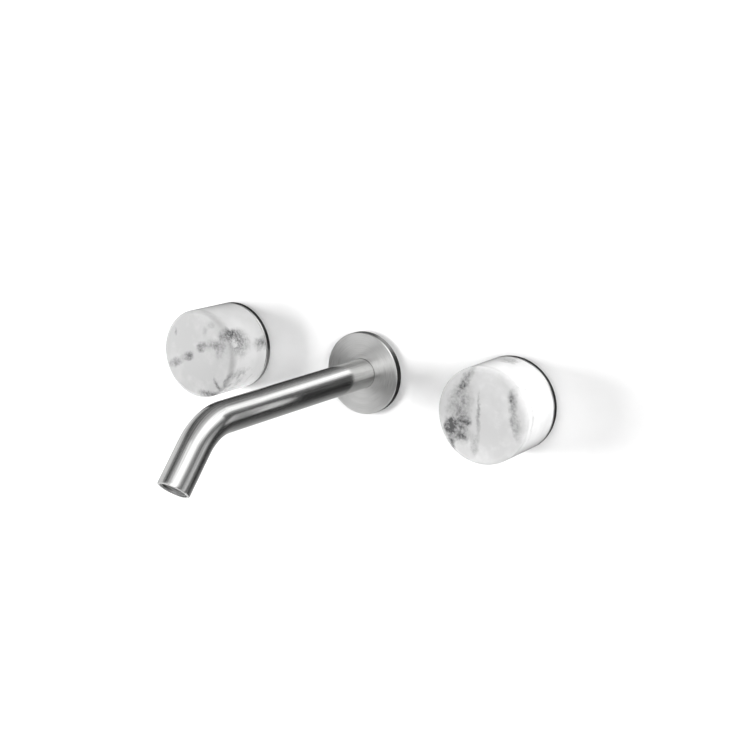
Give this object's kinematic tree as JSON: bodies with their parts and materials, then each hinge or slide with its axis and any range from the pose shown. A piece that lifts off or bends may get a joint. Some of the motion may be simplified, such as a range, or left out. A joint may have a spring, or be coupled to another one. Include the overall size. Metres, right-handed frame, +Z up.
{
  "type": "wall mounted bath faucet",
  "caption": "Wall mounted bath faucet: bent round spout on a round plate between round marble turning knobs, with its concealed valves, tee and rail.",
  "frame": {"origin": "where the spout's axis meets the finished wall surface", "axes": "+X to the right along the row of knobs, +Z up, and -Y out of the wall into the room"},
  "size_m": [0.29, 0.2532, 0.0655],
  "materials": {
    "marble": "polished",
    "spout_steel": "satin",
    "plate_steel": "satin",
    "rosette_steel": "satin",
    "aerator_steel": "satin",
    "hub_steel": "satin",
    "rail_steel": "satin",
    "fastener_steel": "satin",
    "brass": "satin",
    "copper": "satin",
    "rubber": "matte",
    "ceramic": "satin",
    "aerator_plastic": "matte"
  },
  "bodies": {
    "fixed_works": {"spout_tube": "spout_steel", "spout_plate": "plate_steel", "spout_plate_gasket": "rubber", "spout_adaptor": "brass", "adaptor_washer": "rubber", "spout_oring_front": "rubber", "spout_oring_rear": "rubber", "spout_grub_screw": "fastener_steel", "aerator_housing": "aerator_steel", "aerator_screen": "aerator_plastic", "aerator_core": "aerator_plastic", "aerator_seal": "rubber", "outlet_tee": "brass", "mounting_rail": "rail_steel", "hot_rosette": "rosette_steel", "hot_rosette_gasket": "rubber", "hot_wall_sleeve": "brass", "hot_cartridge_body": "brass", "hot_cartridge_oring": "rubber", "hot_seat_seal": "rubber", "hot_fixed_disc": "ceramic", "hot_valve_body": "brass", "hot_body_screw_left": "fastener_steel", "hot_body_screw_right": "fastener_steel", "hot_link_tube": "copper", "hot_tee_nut": "brass", "hot_tee_olive": "brass", "hot_valve_nut": "brass", "hot_valve_olive": "brass", "cold_rosette": "rosette_steel", "cold_rosette_gasket": "rubber", "cold_wall_sleeve": "brass", "cold_cartridge_body": "brass", "cold_cartridge_oring": "rubber", "cold_seat_seal": "rubber", "cold_fixed_disc": "ceramic", "cold_valve_body": "brass", "cold_body_screw_left": "fastener_steel", "cold_body_screw_right": "fastener_steel", "cold_link_tube": "copper", "cold_tee_nut": "brass", "cold_tee_olive": "brass", "cold_valve_nut": "brass", "cold_valve_olive": "brass"},
    "hot_handle": {"hot_knob": "marble", "hot_knob_hub": "hub_steel", "hot_knob_screw": "fastener_steel", "hot_moving_disc": "ceramic", "hot_spindle": "brass", "hot_spindle_clip": "fastener_steel", "hot_spindle_oring": "rubber"},
    "cold_handle": {"cold_knob": "marble", "cold_knob_hub": "hub_steel", "cold_knob_screw": "fastener_steel", "cold_moving_disc": "ceramic", "cold_spindle": "brass", "cold_spindle_clip": "fastener_steel", "cold_spindle_oring": "rubber"}
  },
  "joints": [
    {"name": "hot_handle_turn", "type": "hinge", "parent": "fixed_works", "child": "hot_handle", "pos_m": [-0.1, 0, 0], "axis": [0, -1, 0], "range_deg": [0, 90]},
    {"name": "cold_handle_turn", "type": "hinge", "parent": "fixed_works", "child": "cold_handle", "pos_m": [0.1, 0, 0], "axis": [0, 1, 0], "range_deg": [0, 90]}
  ]
}
